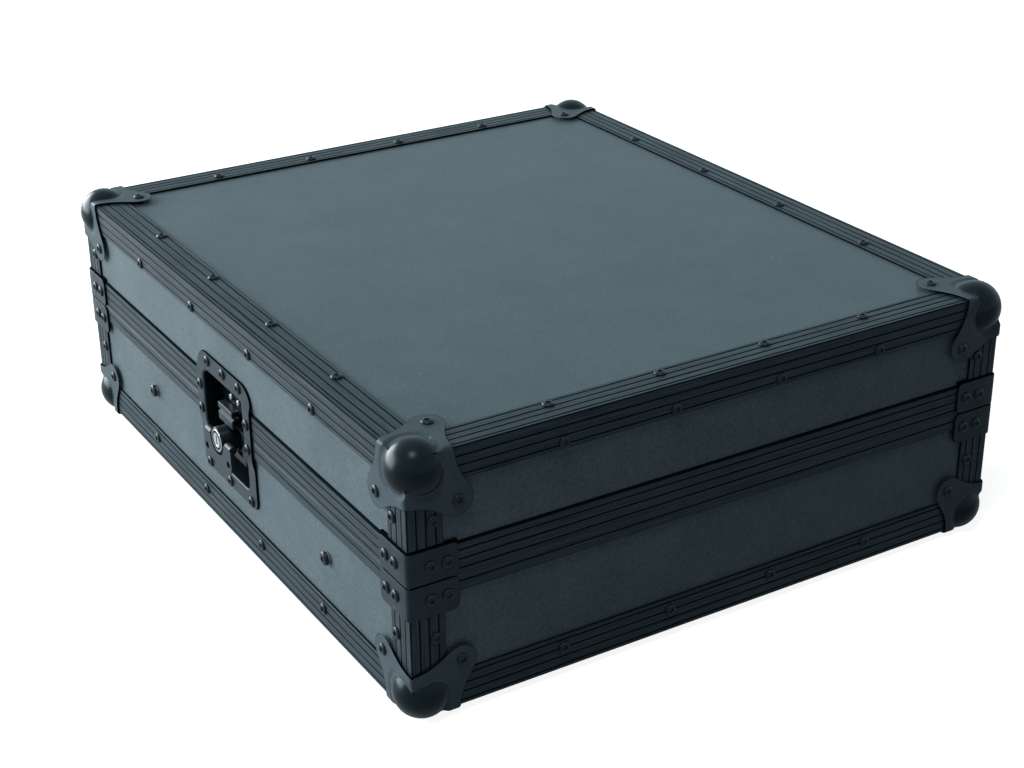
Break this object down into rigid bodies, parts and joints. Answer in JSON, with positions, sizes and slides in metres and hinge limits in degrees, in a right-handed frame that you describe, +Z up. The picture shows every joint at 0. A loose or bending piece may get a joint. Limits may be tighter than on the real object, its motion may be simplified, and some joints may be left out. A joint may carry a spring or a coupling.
{
  "type": "mixer rack case",
  "caption": "Black laminated plywood rack case with ribbed aluminium edge angles, ball corners, recessed twist latches, a lift-off lid, rack rails inside and a folding handle at the back",
  "frame": {"origin": "on the floor under the middle of the case, which stands on its four lower ball corners", "axes": "+X across the 19-inch width, to the right seen from the front; +Y towards the back, where the handle is; +Z up"},
  "size_m": [0.5494, 0.6295, 0.216],
  "materials": {
    "laminate": "black phenolic laminate on plywood, fine orange-peel texture",
    "angle": "black anodised, drawn lengthwise, satin",
    "corner": "black coated pressed steel, semi-gloss",
    "latch": "black coated pressed steel, satin",
    "lock": "bright chrome",
    "zinc": "zinc plated, dull",
    "foam": "open-cell foam",
    "grip": "moulded, matt",
    "rivet": "black coated blind rivet, semi-gloss"
  },
  "bodies": {
    "base": {"base_back_panel": "laminate", "base_ball_corner_back_left": "corner", "base_ball_corner_back_right": "corner", "base_ball_corner_front_left": "corner", "base_ball_corner_front_right": "corner", "base_bottom_panel": "laminate", "base_closure_back": "angle", "base_closure_front": "angle", "base_corner_post_back_left": "angle", "base_corner_post_back_right": "angle", "base_corner_post_front_left": "angle", "base_corner_post_front_right": "angle", "base_edge_back": "angle", "base_edge_front": "angle", "base_edge_left": "angle", "base_edge_right": "angle", "base_front_panel": "laminate", "base_latch_dish_left": "latch", "base_latch_dish_right": "latch", "base_left_panel": "laminate", "base_right_panel": "laminate", "handle_plate": "latch", "rack_rail_left": "zinc", "rack_rail_right": "zinc"},
    "lid": {"keeper_left": "zinc", "keeper_right": "zinc", "lid_back_panel": "laminate", "lid_ball_corner_back_left": "corner", "lid_ball_corner_back_right": "corner", "lid_ball_corner_front_left": "corner", "lid_ball_corner_front_right": "corner", "lid_closure_back": "angle", "lid_closure_front": "angle", "lid_corner_post_back_left": "angle", "lid_corner_post_back_right": "angle", "lid_corner_post_front_left": "angle", "lid_corner_post_front_right": "angle", "lid_edge_back": "angle", "lid_edge_front": "angle", "lid_edge_left": "angle", "lid_edge_right": "angle", "lid_foam": "foam", "lid_front_panel": "laminate", "lid_latch_dish_left": "latch", "lid_latch_dish_right": "latch", "lid_left_panel": "laminate", "lid_right_panel": "laminate", "lid_top_panel": "laminate"},
    "left_rotor": {"latch_rotor_left": "latch"},
    "left_hook": {"latch_hook_left": "latch"},
    "left_flap": {"latch_flap_left": "latch"},
    "left_plug": {"key_plug_left": "lock"},
    "right_rotor": {"latch_rotor_right": "latch"},
    "right_hook": {"latch_hook_right": "latch"},
    "right_flap": {"latch_flap_right": "latch"},
    "right_plug": {"key_plug_right": "lock"},
    "handle": {"handle_bow": "latch", "handle_grip": "grip"}
  },
  "joints": [
    {"name": "lid_lift", "type": "slide", "parent": "base", "child": "lid", "axis": [0, 0, 1], "range_m": [0, 0.25]},
    {"name": "left_latch_twist", "type": "hinge", "parent": "base", "child": "left_rotor", "pos_m": [-0.265, 0, 0.096], "axis": [-1, 0, 0], "range_deg": [0, 180]},
    {"name": "left_hook_lift", "type": "slide", "parent": "base", "child": "left_hook", "axis": [0, 0, 1], "range_m": [0, 0.008]},
    {"name": "left_flap_fold", "type": "hinge", "parent": "left_rotor", "child": "left_flap", "pos_m": [-0.271, 0, 0.096], "axis": [0, 1, 0], "range_deg": [0, 90]},
    {"name": "left_key_turn", "type": "hinge", "parent": "left_rotor", "child": "left_plug", "pos_m": [-0.272, 0, 0.096], "axis": [-1, 0, 0], "range_deg": [0, 90]},
    {"name": "right_latch_twist", "type": "hinge", "parent": "base", "child": "right_rotor", "pos_m": [0.265, 0, 0.096], "axis": [1, 0, 0], "range_deg": [0, 180]},
    {"name": "right_hook_lift", "type": "slide", "parent": "base", "child": "right_hook", "axis": [0, 0, 1], "range_m": [0, 0.008]},
    {"name": "right_flap_fold", "type": "hinge", "parent": "right_rotor", "child": "right_flap", "pos_m": [0.271, 0, 0.096], "axis": [0, -1, 0], "range_deg": [0, 90]},
    {"name": "right_key_turn", "type": "hinge", "parent": "right_rotor", "child": "right_plug", "pos_m": [0.272, 0, 0.096], "axis": [1, 0, 0], "range_deg": [0, 90]},
    {"name": "handle_swing", "type": "hinge", "parent": "base", "child": "handle", "pos_m": [0, 0.312, 0.08701], "axis": [1, 0, 0], "range_deg": [0, 90]}
  ],
  "couplings": [
    {"joint": "left_hook_lift", "follows": "left_latch_twist", "m_per_rad": 0.0025464},
    {"joint": "right_hook_lift", "follows": "right_latch_twist", "m_per_rad": 0.0025464}
  ]
}
